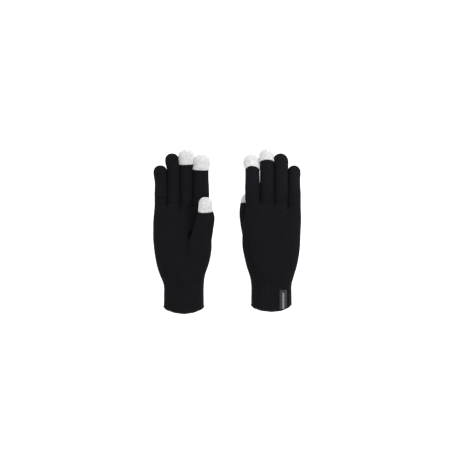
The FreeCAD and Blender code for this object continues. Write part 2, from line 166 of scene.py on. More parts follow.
# The thumb's centre line after its base: side, along, out, half width and half depth.
THUMB_LINES = {
    "palm_up": ((14.0, 58, 13.5, 14.0, 8.5), (19.1, 80, 21.0, 17.6, 12.6),
                (21.2, 92, 25.0, 17.0, 12.2), (24.2, 104, 28.6, 15.0, 11.6),
                (28.4, 122, 33.0, 13.4, 11.0), (30.8, 136, 36.2, 12.2, 10.5),
                (30.6, 145, 38.4, 9.6, 9.8)),
    "back_up": ((14.0, 62, 13.0, 14.0, 7.5), (20.0, 84, 15.2, 16.0, 11.6),
                (25.0, 107, 17.6, 14.2, 11.6), (29.6, 127, 19.2, 13.1, 11.0),
                (31.8, 140, 20.4, 12.2, 10.6), (32.2, 152, 21.8, 10.7, 10.0)),
}
THUMB_BALLS = {"palm_up": (30.7, 9.0, 9.5), "back_up": (31.8, 9.7, 9.6)}   # side, half width, depth
THUMB_WALES = 28
THUMB_INSET = 0.7           # the thumb's hidden root is this much thinner, up to these places
THUMB_INSET_END = (26.0, 40.0)
THUMB_BLEND = ((0.4, 3.0, 0.0), (4.2, 31.0, 0.0))       # two places from its hinge, given to bend_between

MOUND_SOFTNESS = 2.2        # how softly the palm runs into the thumb's root
MOUND_GAP = (-8.0, -3.0)    # the palm isn't touched where it lies this far above the thumb
MOUND_DROP = 0.035          # how fast the palm falls away under the thumb past the mound
MOUND_REACH = 30.0          # and how far past the mound that goes on
KEEP_SIZE = (0.5, -0.52)    # smoothing steps that even out a surface without shrinking it
# Where the fingers part, thumb side first: the index edge, three forks and the little finger's edge.
KNUCKLES = {"palm_up": (148, 144, 141, 143, 141), "back_up": (151, 149, 146.5, 141, 140)}
# Creases pressed across a finger: finger, place along the glove, depth and the side they are on.
CREASES = {
    "palm_up": (("little", 161.0, 2.0, 1), ("ring", 171.0, 0.6, 1), ("middle", 173.5, 0.9, 1),
                ("middle", 168.5, 0.5, 1)),
    "back_up": (("middle", 155.0, 0.8, -1),),
}
CREASE_HALF = 1.2
VALLEY_DEPTH = 4.2          # the palm sinks beside the thumb
VALLEY_HALF = 3.6
VALLEY_PLACE = 1.2
VALLEY_ENDS = (98, 114, 136, 152)
WEB_ENDS = (128, 140, 160, 168)     # the zone that is smoothed where the fingers part
CROTCH_RISE = 6.0           # the web between fingers stands this far past the knuckle line
MERGE_ROWS = 6              # rows between the knuckle line and a finger's first level row
MERGE_LENGTH = 2.5          # least length of them
ROOT_SPREAD = 0.5           # neighbouring fingers press together near their roots
FINGER_ROUNDING = 9.0       # length over which the hand's flat becomes a round finger
SWELL_BEFORE = (16.0, 2.0)  # the tube swells into the tip over this stretch before the ball's middle
SHIFT_BEFORE = (13.0, 2.0)  # and moves to the tip's side place over this one
SPREAD_AFTER = (8.0, 20.0)  # the root's spread fades out over this stretch past the root
TIP_POWER = 2.15
LENS_POWER = 1.22           # 1 is a round finger, and more is thinner towards its sides
FINGER_FLATNESS = 0.97      # half depth of a finger tube as part of its packed radius
TIP_FLATNESS = 0.92
TIP_PROUD = {"index": 1.2, "middle": 1.6, "ring": 0.8, "little": 0.0}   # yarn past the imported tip
CAD_BALLS = {"index": 10.7, "middle": 10.3, "ring": 9.3, "little": 8.8}


# ---- Small mathematics ----

def smooth(low, high, value):
    """0 below low, 1 above high and an even turn between them."""
    part = np.clip((np.asarray(value, float) - low) / (high - low), 0, 1)
    return part * part * (3 - 2 * part)


def between(ends, value):
    """1 in the middle of four places and 0 outside them."""
    return smooth(ends[0], ends[1], value) * (1 - smooth(ends[2], ends[3], value))


def run_along(points):
    """The length from the first point to each point of a line."""
    steps = np.linalg.norm(np.diff(points, axis=0), axis=1)
    return np.concatenate(([0], np.cumsum(steps)))


def curve(knots, values, at):
    """A smooth line through the given points."""
    knots, values = np.asarray(knots, float), np.asarray(values, float)
    slopes = np.gradient(values, knots)
    at = np.clip(at, knots[0], knots[-1])
    place = np.clip(np.searchsorted(knots, at, side="right") - 1, 0, len(knots) - 2)
    span = knots[place + 1] - knots[place]
    part = (at - knots[place]) / span
    low, high = values[place], values[place + 1]
    rise = (2 * part**3 - 3 * part**2 + 1) * low + (3 * part**2 - 2 * part**3) * high
    bend = (part**3 - 2 * part**2 + part) * slopes[place] + (part**3 - part**2) * slopes[place + 1]
    return rise + bend * span


def wander(side, along, seed):
    """A slow, fixed unevenness of about one unit, for cloth that is never quite true."""
    phases = np.random.default_rng(seed).uniform(0, 2 * math.pi, 6)
    total = np.sin(side / 9.0 + phases[0]) * np.sin(along / 17.0 + phases[1])
    total = total + 0.6 * np.sin(side / 5.0 + along / 11.0 + phases[2])
    total = total + 0.5 * np.sin(along / 6.5 + phases[3]) * np.sin(side / 13.0 + phases[4])
    return total / 2.1


# ---- Mesh building ----

def cells(low, high):
    """The corners of every quad between two rows."""
    return np.stack((low[:-1], high[:-1], high[1:], low[1:]), axis=1)


class Knit:
    """Quads between rings of points, with one texture column per wale and one row per course."""

    def __init__(self):
        self.points = []
        self.count = 0
        self.quads = []
        self.corners = []
        self.groups = []

    def add(self, points):
        points = np.asarray(points, float)
        self.points.append(points)
        self.count += len(points)
        return np.arange(self.count - len(points), self.count)

    def pole(self, point, count):
        """The closing row of a tip: one point for all columns."""
        return np.repeat(self.add([point]), count)

    def weave(self, rows, courses, group, closed=True, density=COLUMNS_PER_WALE):
        """Join rows of point numbers with quads that face outwards."""
        for row in range(len(rows) - 1):
            low, high = np.asarray(rows[row]), np.asarray(rows[row + 1])
            if closed:
                low, high = np.append(low, low[0]), np.append(high, high[0])
            wales = np.arange(len(low)) / density
            low_map, high_map = (np.stack(np.broadcast_arrays(wales, courses[k]), axis=1)
                                 for k in (row, row + 1))
            self.quads.append(cells(low, high))
            self.corners.append(cells(low_map, high_map))
            self.groups += [group] * (len(low) - 1)

    def finish(self):
        self.points = np.concatenate(self.points)
        self.quads = np.concatenate(self.quads)
        self.corners = np.concatenate(self.corners)
        self.groups = np.array(self.groups)
        return self

    def corner_values(self):
        """Wale and course of every point, read from the corners of its quads."""
        values = np.zeros((len(self.points), 2))
        for k in (3, 2, 1, 0):
            values[self.quads[:, k]] = self.corners[:, k]
        return values.T

    def walled(self, wall):
        return with_wall(self.points, normals_of(self.points, self.quads), self.quads,
                         self.corners, wall)


def normals_of(points, quads):
    a, b, c, d = (points[quads[:, k]] for k in range(4))
    face = np.cross(c - a, d - b)
    total = np.zeros_like(points)
    for column in quads.T:
        np.add.at(total, column, face)
    return total / np.maximum(np.linalg.norm(total, axis=1, keepdims=True), 1e-12)


def edges_of(quads):
    return np.concatenate([quads[:, (k, (k + 1) % 4)] for k in range(4)])


def relax(points, quads, weight, rounds):
    """Even out a surface: points go to and fro on the way to their neighbours' middle."""
    edges = edges_of(quads)
    edges = np.concatenate((edges, edges[:, ::-1]))
    degree = np.bincount(edges[:, 0], minlength=len(points))[:, None]
    for step in KEEP_SIZE * rounds:
        total = [np.bincount(edges[:, 0], weights=column[edges[:, 1]], minlength=len(points))
                 for column in points.T]
        middle = np.stack(total, axis=1) / np.maximum(degree, 1)
        points = points + (middle - points) * weight[:, None] * step
    return points


def open_edges(quads):
    """The edges that belong to one quad only, in that quad's own direction."""
    edges = edges_of(quads)
    _, first, count = np.unique(np.sort(edges, axis=1), axis=0, return_index=True,
                                return_counts=True)
    return edges[first[count == 1]]


def with_wall(points, normals, quads, corners, wall):
    """Give an open sheet of quads a wall, closed along its open edges."""
    total = len(points)
    inner = points - normals * wall
    rim = open_edges(quads)
    back = quads[:, ::-1] + total
    band = np.stack((rim[:, 1], rim[:, 0], rim[:, 0] + total, rim[:, 1] + total), axis=1)
    rim_corner = np.zeros((len(band), 4, 2))
    return (np.concatenate((points, inner)), np.concatenate((quads, back, band)),
            np.concatenate((corners, corners[:, ::-1], rim_corner)))


def take_group(knit, points, normals, group, wall):
    """One piece out of a knit, with its own point numbers and wall."""
    chosen = knit.groups == group
    quads = knit.quads[chosen]
    used, compact = np.unique(quads, return_inverse=True)
    quads = compact.reshape(quads.shape)
    return with_wall(points[used], normals[used], quads, knit.corners[chosen], wall)


def make_object(name, points, quads, corners, material):
    """A mesh object; a quad whose corners repeat becomes a triangle."""
    mesh = bpy.data.meshes.new(name)
    faces, uvs = [], []
    for quad, corner in zip(quads.tolist(), corners.tolist()):
        keep = [k for k in range(4) if quad[k] != quad[k - 1]]
        faces.append([quad[k] for k in keep])
        uvs += [corner[k] for k in keep]
    mesh.from_pydata((np.asarray(points) * MM).tolist(), [], faces)
    layer = mesh.uv_layers.new(name="knit")
    layer.data.foreach_set("uv", np.asarray(uvs, np.float32).ravel())
    mesh.polygons.foreach_set("use_smooth", [any(corner[0]) or any(corner[2])
                                             for corner in corners.tolist()])
    mesh.materials.append(material)
    mesh.update()
    piece = bpy.data.objects.new(name, mesh)
    bpy.context.collection.objects.link(piece)
    return piece


# ---- Where things are, from the frame ----

class Glove:
    """One glove's own frame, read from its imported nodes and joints."""

    def __init__(self, name, turned, seed):
        self.name = name
        self.turned = turned
        self.seed = seed
        low, high = self.corners("hem_edge")
        self.middle_x = (low[0] + high[0]) / 2
        self.start_y = cad_low[1] / MM
        self.hem_start = low[1] - self.start_y
        self.turn_height = low[2] + high[2]
        self.cuff_height = self.turn_height / 2
        self.joints = {joint["name"]: joint for joint in frame["joints"]}

    def node(self, part):
        return "%s_%s" % (self.name, part)

    def corners(self, part):
        """A node's box in millimetres, in the shared frame."""
        low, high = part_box(self.node(part))
        return np.array(low) / MM, np.array(high) / MM

    def local(self, points):
        """From the shared frame, in millimetres, to the glove's frame."""
        points = np.array(points, float).reshape(-1, 3)
        side = points[:, 0] - self.middle_x
        height = points[:, 2]
        if self.turned:
            side, height = -side, self.turn_height - height
        return np.stack((side, points[:, 1] - self.start_y, height), axis=1)

    def world(self, points):
        """From the glove's frame to the shared frame, in millimetres."""
        side, height = points[:, 0], points[:, 2]
        if self.turned:
            side, height = -side, self.turn_height - height
        return np.stack((side + self.middle_x, points[:, 1] + self.start_y, height), axis=1)

    def local_box(self, part):
        ends = self.local(self.corners(part))
        return ends.min(axis=0), ends.max(axis=0)

    def hinge(self, joint):
        place = self.joints["%s_%s" % (self.name, joint)]["pos_m"]
        return self.local(np.array(place) / MM)[0]


class Digit:
    """A finger's centre line: it leaves the hand level and curls towards the palm."""

    BEND_LENGTH = {False: 34.0, True: 27.0}     # by whether the glove is turned over
    STEPS = 400

    def __init__(self, glove, finger):
        self.finger = finger
        hinge = glove.hinge(finger + "_bend")
        low, high = glove.local_box(finger + "_finger")
        self.root = hinge[1]
        self.side, tip_side, self.half_width, self.ball = FINGER_SHAPES[glove.name][finger]
        self.radius = (hinge[2] - low[2]) / 2
        self.height = hinge[2] - self.radius
        if finger in TOUCH_FINGERS:
            high = glove.local_box(finger + "_touch_tip")[1]
        self.shift = tip_side - self.side
        self.bend = self.BEND_LENGTH[glove.turned]
        self.solve(high[1] + TIP_PROUD[finger] - self.ball - self.root,
                   high[2] - CAD_BALLS[finger] - self.height)
        if finger in TOUCH_FINGERS:
            self.seam = self.place_of(CAP_SEAMS[glove.name][finger], -1 if glove.turned else 1)

    def trace(self, curl):
        along = np.linspace(0, 90, self.STEPS)
        slope = curl * smooth(0, self.bend, along)
        step = along[1]
        forward = np.concatenate(([0], np.cumsum(np.cos((slope[1:] + slope[:-1]) / 2) * step)))
        rise = np.concatenate(([0], np.cumsum(np.sin((slope[1:] + slope[:-1]) / 2) * step)))
        return along, slope, forward, rise

    def solve(self, reach, rise_wanted):
        """Find the curl whose line meets the middle of the tip's ball."""
        low, high = -0.2, 1.4
        for _ in range(40):
            curl = (low + high) / 2
            _, _, forward, rise = self.trace(curl)
            if np.interp(reach, forward, rise) < rise_wanted:
                low = curl
            else:
                high = curl
        self.line = self.trace(curl)
        self.ball_at = self.root + np.interp(reach, self.line[2], self.line[0])

    def place_of(self, along_glove, facing):
        """The place on the finger whose palm side (facing 1) or back (-1) lies that far along."""
        along, slope, forward, _ = self.line
        surface = forward - facing * self.ball * TIP_FLATNESS * np.sin(slope)
        return self.root + np.interp(along_glove - self.root, surface, along)

    def bent(self, points):
        """Carry points of the straight finger onto its curled centre line."""
        along, slope, forward, rise = self.line
        past = np.maximum(points[:, 1] - self.root, 0)
        before = np.minimum(points[:, 1] - self.root, 0)
        angle = np.interp(past, along, slope)
        centre_y = np.interp(past, along, forward) + before
        centre_z = np.interp(past, along, rise)
        out = points[:, 2]
        share = smooth(*(self.ball_at - reach for reach in SHIFT_BEFORE), points[:, 1])
        side = points[:, 0] + self.shift * share
        return np.stack((side, self.root + centre_y - out * np.sin(angle),
                         self.height + centre_z + out * np.cos(angle)), axis=1)


def above_floor(glove, points):
    """Keep points off the floor by a hair."""
    points = points.copy()
    if glove.turned:
        points[:, 2] = np.minimum(points[:, 2], glove.turn_height - FLOOR_GAP)
    else:
        points[:, 2] = np.maximum(points[:, 2], FLOOR_GAP)
    return points


# ---- The hand and its fingers ----

def section(glove, along):
    """The hand's cross section: its middle, half width and half depth."""
    return tuple(curve(ALONG, values, along)
                 for values in (MIDDLE[glove.name], HALF_WIDTH[glove.name], HALF_DEPTH))


def signed_power(value, power):
    return np.sign(value) * np.abs(value) ** power


def outline(middle, half_width, half_depth, samples=1440):
    """A rounded cross section, from the thumb edge over the palm side and back."""
    turn = np.linspace(0, 2 * math.pi, samples + 1)
    return (middle + half_width * signed_power(np.cos(turn), 2 / SECTION_POWER),
            half_depth * signed_power(np.sin(turn), 2 / SECTION_POWER))


def hem_line(glove, side):
    """The cuff's end, a wide arc whose corners are rounded off."""
    arc = glove.hem_start + HEM_ARC - np.sqrt(HEM_ARC ** 2 - side ** 2)
    return arc + HEM_CORNER * smooth(*HEM_TURN, np.abs(side))


def ring_corners(digits):
    """Side places of the finger boundaries at the knuckles, thumb side first."""
    digits = [digits[finger] for finger in FINGERS]
    forks = [((near.side - near.half_width) + (far.side + far.half_width)) / 2
             for near, far in zip(digits[:-1], digits[1:])]
    return np.array([digits[0].side + digits[0].half_width * OUTER_CORNER, *forks,
                     digits[3].side - digits[3].half_width * OUTER_CORNER])


def column_counts():
    front = [FRONT_WALES[finger] for finger in FINGERS]
    return [wales * COLUMNS_PER_WALE for wales in front + [EDGE_WALES] + front[::-1] + [EDGE_WALES]]


def hand_ring(glove, along, shares):
    """Points round one row of the hand. shares are the corners as parts of the half width."""
    middle, half_width, half_depth = section(glove, along)
    side, out = outline(middle, half_width, half_depth)
    length = run_along(np.stack((side, out), axis=1))
    half = len(side) // 2
    front = np.interp(-(middle + shares * half_width), -side[:half + 1], length[:half + 1])
    back = length[-1] - front
    stops = np.concatenate((front, back[::-1], [length[-1] + front[0]]))
    places = [np.linspace(stops[k], stops[k + 1], count, endpoint=False)
              for k, count in enumerate(column_counts())]
    places = np.concatenate(places) % length[-1]
    ring_side, ring_out = np.interp(places, length, side), np.interp(places, length, out)
    return np.stack((ring_side, np.full_like(ring_side, along), ring_out), axis=1)


def finger_angles(finger, density=COLUMNS_PER_WALE):
    """Angles round a finger from its thumb-side palm corner over the palm side and the back."""
    edge, crotch = (50.0, EDGE_WALES), (62.0, CROTCH_WALES)
    before, near_wales = edge if finger == "index" else crotch
    after, far_wales = edge if finger == "little" else crotch
    spans = ((-before, after, FRONT_WALES[finger]), (after, 180 - after, far_wales),
             (180 - after, 180 + before, FRONT_WALES[finger]),
             (180 + before, 360 - before, near_wales))
    parts = [np.linspace(low, high, wales * density, endpoint=False) for low, high, wales in spans]
    return np.radians(np.concatenate(parts))


def lens(angles):
    """A finger's depth round it: thinner towards its sides than a circle."""
    return signed_power(np.cos(angles), LENS_POWER)


def past_ball(tip, along):
    """How far a place lies past the middle of the tip's ball, up to 1 at its very end."""
    return np.clip((along - tip.ball_at) / tip.ball, 0, 1)


def closing(tip, along):
    """How the tip narrows, from 1 on the tube to 0 at its very end."""
    return (1 - past_ball(tip, along) ** TIP_POWER) ** (1 / TIP_POWER)


def finger_radii(digit, along):
    """Half width and half depth: the tube swells into the ball of the tip and closes over it."""
    swell = smooth(*(digit.ball_at - reach for reach in SWELL_BEFORE), along)
    close = closing(digit, along)
    spread = ROOT_SPREAD * (1 - smooth(*(digit.root + reach for reach in SPREAD_AFTER), along))
    width = digit.half_width + spread + (digit.ball - digit.half_width) * swell
    depth = digit.radius * FINGER_FLATNESS
    depth += (digit.ball * TIP_FLATNESS - depth) * swell
    return width * close, depth * close


def tip_course(tip, along):
    """The count of stitch rows up to a place, measured over the round of the tip."""
    return (np.minimum(along, tip.ball_at) + tip.ball * np.arcsin(past_ball(tip, along))) / COURSE


def tip_rows(tip, start, spacing):
    """Places of rows from start to the very tip, closer where the tip turns in."""
    straight = np.arange(start, tip.ball_at, spacing)
    turn = np.linspace(0, math.pi / 2, int(tip.ball * math.pi / 2 / spacing) + 1)
    return np.concatenate((straight[:-1], tip.ball_at + tip.ball * np.sin(turn)))


class Hand:
    """The plain-knit hand with its four fingers, as one net of stitches."""

    def __init__(self, glove):
        self.glove = glove
        self.digits = {finger: Digit(glove, finger) for finger in FINGERS}
        self.finger_points = []
        self.knit = Knit()
        self.build_net()
        self.shape()

    def build_net(self):
        """The whole glove as it comes off the machine, flat and straight."""
        glove = self.glove
        middle, half_width, _ = section(glove, KNUCKLE)
        corners = ring_corners(self.digits)
        self.shares = np.clip((corners - middle) / half_width, -CORNER, CORNER)
        knuckle_side = hand_ring(glove, KNUCKLE, self.shares)[:, 0]
        wrist_side = hand_ring(glove, WRIST, self.shares)[:, 0]
        start = hem_line(glove, wrist_side) + HEM_BAND / 2
        wrist = np.full(len(start), WRIST)
        knuckles = np.interp(-knuckle_side, -corners, KNUCKLES[glove.name])
        cuff = self.rows_between(start, wrist, int(WRIST / ROW))
        hand = self.rows_between(wrist, knuckles, int((KNUCKLE - WRIST) / ROW), cuff[0][-1])
        self.knit.weave(*cuff, "cuff")
        self.knit.weave(*hand, "hand")
        self.web_and_fingers(hand[0][-1])
        self.knit.finish()

    def rows_between(self, start, end, count, first=None):
        """Rows of the hand from one line to another, each column read at its own place."""
        rows, courses = [], []
        for step in np.linspace(0, 1, count + 1):
            places = start + (end - start) * step
            if step == 0 and first is not None:
                rows.append(first)
            else:
                rows.append(self.knit.add(self.slanted_ring(places)))
            courses.append(np.append(places, places[0]) / COURSE)
        return rows, courses

    def slanted_ring(self, places):
        """A row whose columns lie at different places along the hand."""
        level = float(np.mean(places))
        base = hand_ring(self.glove, level, self.shares)
        middle0, half0, depth0 = section(self.glove, level)
        middle1, half1, depth1 = section(self.glove, places)
        side = middle1 + (base[:, 0] - middle0) / half0 * half1
        return np.stack((side, places, base[:, 2] / depth0 * depth1), axis=1)

    def web_and_fingers(self, ring):
        """Part the hand's last row into four rings, with a web between each two."""
        points = np.concatenate(self.knit.points)
        stops = np.concatenate(([0], np.cumsum(column_counts())))
        corner = ring[stops[:-1] % len(ring)]
        fronts, backs = corner[:5], corner[5:10][::-1]
        webs = []
        part = np.linspace(0, 1, CROTCH_WALES * COLUMNS_PER_WALE + 1)[1:-1, None]
        for k in (1, 2, 3):
            web = points[fronts[k]] * (1 - part) + points[backs[k]] * part
            web[:, 1] += CROTCH_RISE * np.sin(part[:, 0] * math.pi) ** 0.8
            webs.append(self.knit.add(web))
        for k, finger in enumerate(FINGERS):
            front = ring[stops[k]:stops[k + 1]]
            far = ring[stops[4]:stops[5]] if k == 3 else np.append(fronts[k + 1], webs[k])
            back = ring[stops[8 - k]:stops[9 - k]]
            near = ring[stops[9]:] if k == 0 else np.append(backs[k], webs[k - 1][::-1])
            self.finger_net(self.digits[finger], np.concatenate((front, far, back, near)))

    def finger_net(self, digit, first):
        """Rows of one finger from the knuckle line on."""
        knit = self.knit
        base = np.concatenate(knit.points)[first]
        angles = finger_angles(digit.finger)
        touch = digit.finger in TOUCH_FINGERS
        level = max(float(base[:, 1].max()) + MERGE_LENGTH, digit.root - BLEND_BEFORE - 1.0)
        rows, courses = [first], [np.append(base[:, 1], base[0, 1]) / COURSE]
        places = [base[:, 1] * (1 - part) + level * part
                  for part in np.linspace(0, 1, MERGE_ROWS + 1)[1:]]
        if touch:
            seam = digit.seam + CAP_OVERLAP
            beyond = np.linspace(level, seam, int((seam - level) / ROW) + 1)[1:]
        else:
            beyond = tip_rows(digit, level, ROW)[1:]
        places += [np.full(len(base), value) for value in beyond]
        for number, along in enumerate(places):
            if not touch and number == len(places) - 1:
                rows.append(knit.pole((digit.side, along[0], 0.0), len(base)))
            else:
                width, depth = finger_radii(digit, along)
                side = digit.side - width * np.sin(angles)
                out = depth * lens(angles)
                share = smooth(0, FINGER_ROUNDING, along - base[:, 1])
                side = base[:, 0] * (1 - share) + side * share
                out = base[:, 2] * (1 - share) + out * share
                rows.append(knit.add(np.stack((side, along, out), axis=1)))
            courses.append(tip_course(digit, np.append(along, along[0])))
        self.finger_points.append(np.unique(np.concatenate(rows[1:])))
        knit.weave(rows[:MERGE_ROWS + 1], courses[:MERGE_ROWS + 1], "hand")
        knit.weave(rows[MERGE_ROWS:], courses[MERGE_ROWS:], digit.finger)

    def shape(self):
        """Smooth the webs, raise the stitches and lay the glove in its pose."""
        knit = self.knit
        points = relax(knit.points, knit.quads, between(WEB_ENDS, knit.points[:, 1]), 60)
        points = self.raise_mound(self.posed(points))
        normals = normals_of(points, knit.quads)
        points = points + normals * self.relief(knit.points)[:, None]
        self.points = above_floor(self.glove, points)
        self.normals = normals_of(self.points, knit.quads)

    def relief(self, flat):
        """Wales over the hand, deepening into ribs towards the cuff."""
        wale = np.zeros(len(flat))
        for k in (1, 0):
            wale[self.knit.quads[:, k]] = self.knit.corners[:, k, 0]
        plain = np.cos(2 * math.pi * wale) * WALE_RELIEF
        rib = np.cos(2 * math.pi * wale / RIB_WALES) * RIB_RELIEF
        share = smooth(WRIST - 3, WRIST + 12, flat[:, 1])
        uneven = wander(flat[:, 0], flat[:, 1], self.glove.seed) * UNEVENNESS - self.creases(flat)
        return rib * (1 - share) + plain * share + uneven * smooth(30, 60, flat[:, 1])

    def creases(self, flat):
        """Depth of the creases pressed across the fingers."""
        depth = np.zeros(len(flat))
        for finger, along, deep, facing in CREASES[self.glove.name]:
            digit = self.digits[finger]
            bump = np.exp(-((flat[:, 1] - along) / CREASE_HALF) ** 2)
            across = np.abs(flat[:, 0] - digit.side) / digit.half_width
            depth += deep * bump * (1 - smooth(0.8, 1.15, across)) * (flat[:, 2] * facing > 0)
        return depth

    def raise_mound(self, points):
        """The palm rises over the thumb's root, so that the thumb grows out of it."""
        thumb, quads = self.glove.thumb, self.knit.quads
        in_reach = points[:, 1] < thumb.mound_end + MOUND_REACH
        facing = smooth(-0.1, 0.5, normals_of(points, quads)[:, 2]) * in_reach
        gap = thumb.top(points) - points[:, 2]
        lift = (gap + np.sqrt(gap ** 2 + MOUND_SOFTNESS ** 2)) / 2
        fade = smooth(*MOUND_GAP, gap)
        points = points.copy()
        points[:, 2] += lift * facing * fade
        valley = np.exp(-((thumb.beside(points) - VALLEY_PLACE) / VALLEY_HALF) ** 2)
        points[:, 2] -= VALLEY_DEPTH * valley * between(VALLEY_ENDS, points[:, 1]) * facing
        return relax(points, quads, ((fade > 0) & in_reach) * 0.8, 16)

    def hand_height(self, along):
        """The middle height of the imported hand, read at a few places along it."""
        glove = self.glove
        shell = frame["nodes"][glove.node("hand_shell")].data.vertices
        shell = glove.local(np.array([vertex.co for vertex in shell]) / MM)
        heights = []
        for place in HEIGHT_ALONG:
            near = shell[np.abs(shell[:, 1] - place) < SLAB, 2]
            heights.append((near.min() + near.max()) / 2)
        heights[0] = glove.cuff_height
        knuckle = self.digits["middle"].height
        return curve((0, *HEIGHT_ALONG, ALONG[-1]), [heights[0], *heights, knuckle], along)

    def posed(self, points):
        """From the flat net to where the glove lies."""
        placed = points.copy()
        placed[:, 2] += self.hand_height(points[:, 1])
        for digit, mine in zip(self.digits.values(), self.finger_points):
            mine = mine[points[mine, 1] > digit.root - ROOT_FADE]
            moved = digit.bent(points[mine])
            share = smooth(digit.root - ROOT_FADE, digit.root - 4, points[mine, 1])[:, None]
            placed[mine] = placed[mine] * (1 - share) + moved * share
        return placed


# ---- Thumb ----

class Thumb:
    """A tube whose root lies in the palm and whose end stands clear of it."""

    SAMPLES = 160

    def __init__(self, glove):
        high = glove.local_box("thumb_touch_tip")[1]
        side, ball, depth = THUMB_BALLS[glove.name]
        knots = np.array(THUMB_LINES[glove.name]
                         + ((side, high[1] - ball, high[2] - depth - 0.4, ball, depth),))
        run = run_along(knots[:, :3])
        self.ball, self.ball_at = ball, run[-1]
        self.at = np.linspace(0, self.ball_at + ball, self.SAMPLES)
        columns = [curve(run, values, np.minimum(self.at, self.ball_at)) for values in knots.T]
        self.line = np.stack(columns[:3], axis=1)
        self.half_width, self.half_depth = columns[3:]
        last = np.searchsorted(self.at, self.ball_at) - 1
        step = self.line[last] - self.line[last - 3]
        self.line += step / np.linalg.norm(step) * np.maximum(self.at - self.ball_at, 0)[:, None]
        self.mound_end = knots[1, 1] + 5
        slope = np.gradient(self.line, self.at, axis=0)
        self.slope = slope / np.linalg.norm(slope, axis=1, keepdims=True)
        facing = -1 if glove.turned else 1
        surface = self.line[:, 1] - facing * self.half_depth * self.slope[:, 2]
        self.seam = np.interp(CAP_SEAMS[glove.name]["thumb"], surface, self.at)

    def read(self, values, at):
        return np.interp(at, self.at, values)

    def top(self, points):
        """The thumb's upper surface over a point, lowered past the end of the mound."""
        line = self.line
        side, out, width, depth = (np.interp(points[:, 1], line[:, 1], values) for values in (
            line[:, 0], line[:, 2], self.half_width, self.half_depth))
        across = np.clip((points[:, 0] - side) / width, -1, 1)
        top = out + depth * np.sqrt(1 - across ** 2)
        top -= MOUND_DROP * np.maximum(points[:, 1] - self.mound_end, 0) ** 2
        outside = np.abs(points[:, 0] - side) - width
        return top - 3 * np.maximum(outside, 0) - 2 * np.maximum(line[0, 1] - points[:, 1], 0)

    def beside(self, points):
        """How far points lie past the thumb's inner edge, towards the palm."""
        edge = np.interp(points[:, 1], self.line[:, 1], self.line[:, 0] - self.half_width)
        return edge - points[:, 0]

    def ring(self, at, angles, swell=0.0):
        """Points round the thumb at one place along it."""
        centre, slope = (np.array([self.read(column, at) for column in table.T])
                         for table in (self.line, self.slope))
        slope /= np.linalg.norm(slope)
        across = np.cross(slope, (0, 0, 1))
        across /= np.linalg.norm(across)
        out = np.cross(across, slope)
        inset = THUMB_INSET * (1 - smooth(*THUMB_INSET_END, at))
        width, depth = ((self.read(half, at) - inset + swell) * closing(self, at)
                        for half in (self.half_width, self.half_depth))
        return (centre + across * (np.sin(angles) * width)[:, None]
                + out * (np.cos(angles) * depth)[:, None])

    def net(self, places, columns, swell=0.0, close=False):
        """A knit of the thumb with a row at each place, closed at the last one if asked."""
        knit = Knit()
        angles = np.linspace(0, 2 * math.pi, columns * THUMB_WALES, endpoint=False)
        rows = [knit.add(self.ring(at, -angles, swell)) for at in places[:-1]]
        if close:
            rows.append(knit.pole(self.ring(places[-1], np.zeros(1))[0], len(angles)))
        else:
            rows.append(knit.add(self.ring(places[-1], -angles, swell)))
        knit.weave(rows, tip_course(self, places), "thumb", density=columns)
        return knit.finish()


# ---- Touch caps ----

def stitch(wale, course):
    """Height of plain knit, 0 in the gaps and 1 on the yarn: two slanted legs to a wale."""
    out = np.abs(wale - np.floor(wale) - 0.5)
    leg = np.sqrt(np.clip(1 - ((out - 0.25) / 0.25) ** 2, 0, 1))
    strand = 0.5 + 0.5 * np.cos(2 * math.pi * (course - LEG_SLANT * out))
    return leg * (0.4 + 0.6 * strand)


def loop_height(wale, course, past_seam):
    """Relief of a cap, drawn in at its seam."""
    return stitch(wale, course) * CAP_RELIEF - CAP_LIP * (1 - smooth(*CAP_LIP_END, past_seam))


def finger_cap(digit):
    """The conducting tip of a finger, loop by loop."""
    knit = Knit()
    angles = finger_angles(digit.finger, CAP_COLUMNS)
    places = tip_rows(digit, digit.seam, CAP_ROW)
    wale = np.arange(len(angles)) / CAP_COLUMNS
    rows = []
    for along in places[:-1]:
        width, depth = finger_radii(digit, along)
        height = loop_height(wale, tip_course(digit, along), along - digit.seam)
        height = height * smooth(0.1, 0.45, width / digit.ball)
        height = height + CAP_PROUD * min(1.0, width / digit.ball * 1.5)
        rows.append(knit.add(np.stack((digit.side - (width + height) * np.sin(angles),
                                       np.full(len(angles), along),
                                       (depth + height) * lens(angles)), axis=1)))
    rows.append(knit.pole((digit.side, places[-1], 0.0), len(angles)))
    knit.weave(rows, tip_course(digit, places), "cap", density=CAP_COLUMNS)
    knit.finish()
    knit.points = digit.bent(knit.points)
    return knit.walled(FABRIC)


def thumb_cap(thumb):
    """The conducting tip of the thumb."""
    knit = thumb.net(tip_rows(thumb, thumb.seam, CAP_ROW), CAP_COLUMNS, CAP_PROUD, close=True)
    wale, course = knit.corner_values()
    height = loop_height(wale, course, course * COURSE - thumb.seam)
    height *= smooth(1.0, 5.0, np.linalg.norm(knit.points - thumb.line[-1], axis=1))
    knit.points = knit.points + normals_of(knit.points, knit.quads) * height[:, None]
    return knit.walled(FABRIC)


def thumb_tube(thumb):
    """The thumb from its root in the palm to just under its cap."""
    end = thumb.seam + CAP_OVERLAP
    knit = thumb.net(np.linspace(0.0, end, int(end / ROW) + 1), COLUMNS_PER_WALE)
    wales = np.cos(2 * math.pi * knit.corner_values()[0]) * WALE_RELIEF
    normals = normals_of(knit.points, knit.quads)
    return with_wall(knit.points + normals * wales[:, None], normals, knit.quads, knit.corners,
                     FABRIC)


# ---- Cuff parts ----

